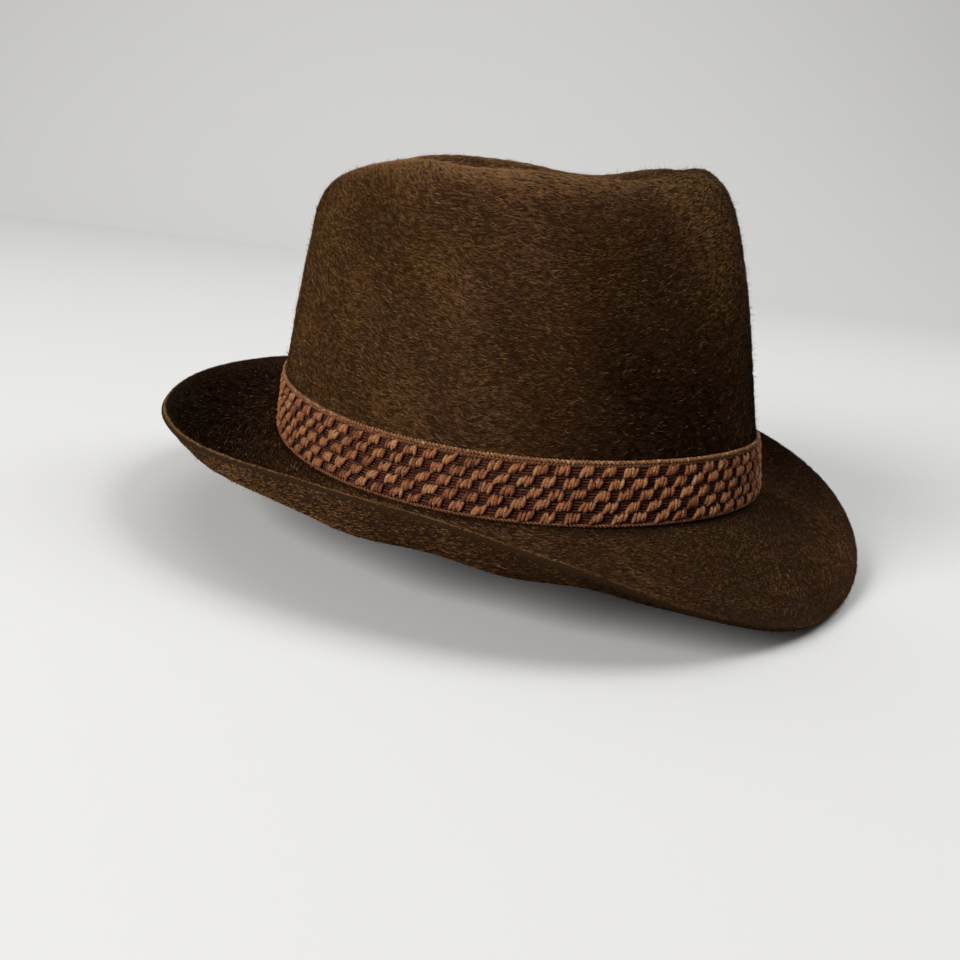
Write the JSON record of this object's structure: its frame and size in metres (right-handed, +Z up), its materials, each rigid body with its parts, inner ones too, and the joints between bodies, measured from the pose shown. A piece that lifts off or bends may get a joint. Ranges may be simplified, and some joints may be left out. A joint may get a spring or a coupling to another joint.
{
  "type": "fedora hat",
  "caption": "Soft felt fedora with a centre dent, soft front pinches, a snap brim turned up at the sides and back, and a woven trim band.",
  "frame": {"origin": "middle of the head opening, on the level where the crown wall meets the brim", "axes": "+Z up towards the crown, -Y towards the front of the brim, +X towards the wearer's left side, where the band is joined"},
  "size_m": [0.2662, 0.2962, 0.1534],
  "materials": {
    "velour_felt": "long-haired velour felt, brushed one way",
    "woven_trim": "coarse woven trim with raised tufts",
    "woven_trim_fold": "the same trim, folded",
    "tan_leather": "smooth satin leather",
    "reed_plastic": "plain",
    "reed_tape": "fine ribbed ribbon",
    "thread": "twisted thread",
    "satin_lining": "satin weave, soft shine",
    "lining_piping": "corded satin",
    "bow_ribbon": "ribbed ribbon"
  },
  "bodies": {
    "root": {"felt_body": "velour_felt", "hatband": "woven_trim", "band_join_cover": "woven_trim_fold", "sweatband": "tan_leather", "sweatband_reed": "reed_plastic", "reed_tape": "reed_tape", "sweatband_thread": "thread", "lining_side": "satin_lining", "lining_tip": "satin_lining", "lining_piping": "lining_piping", "rear_bow_loops": "bow_ribbon", "rear_bow_knot": "bow_ribbon"}
  },
  "joints": []
}
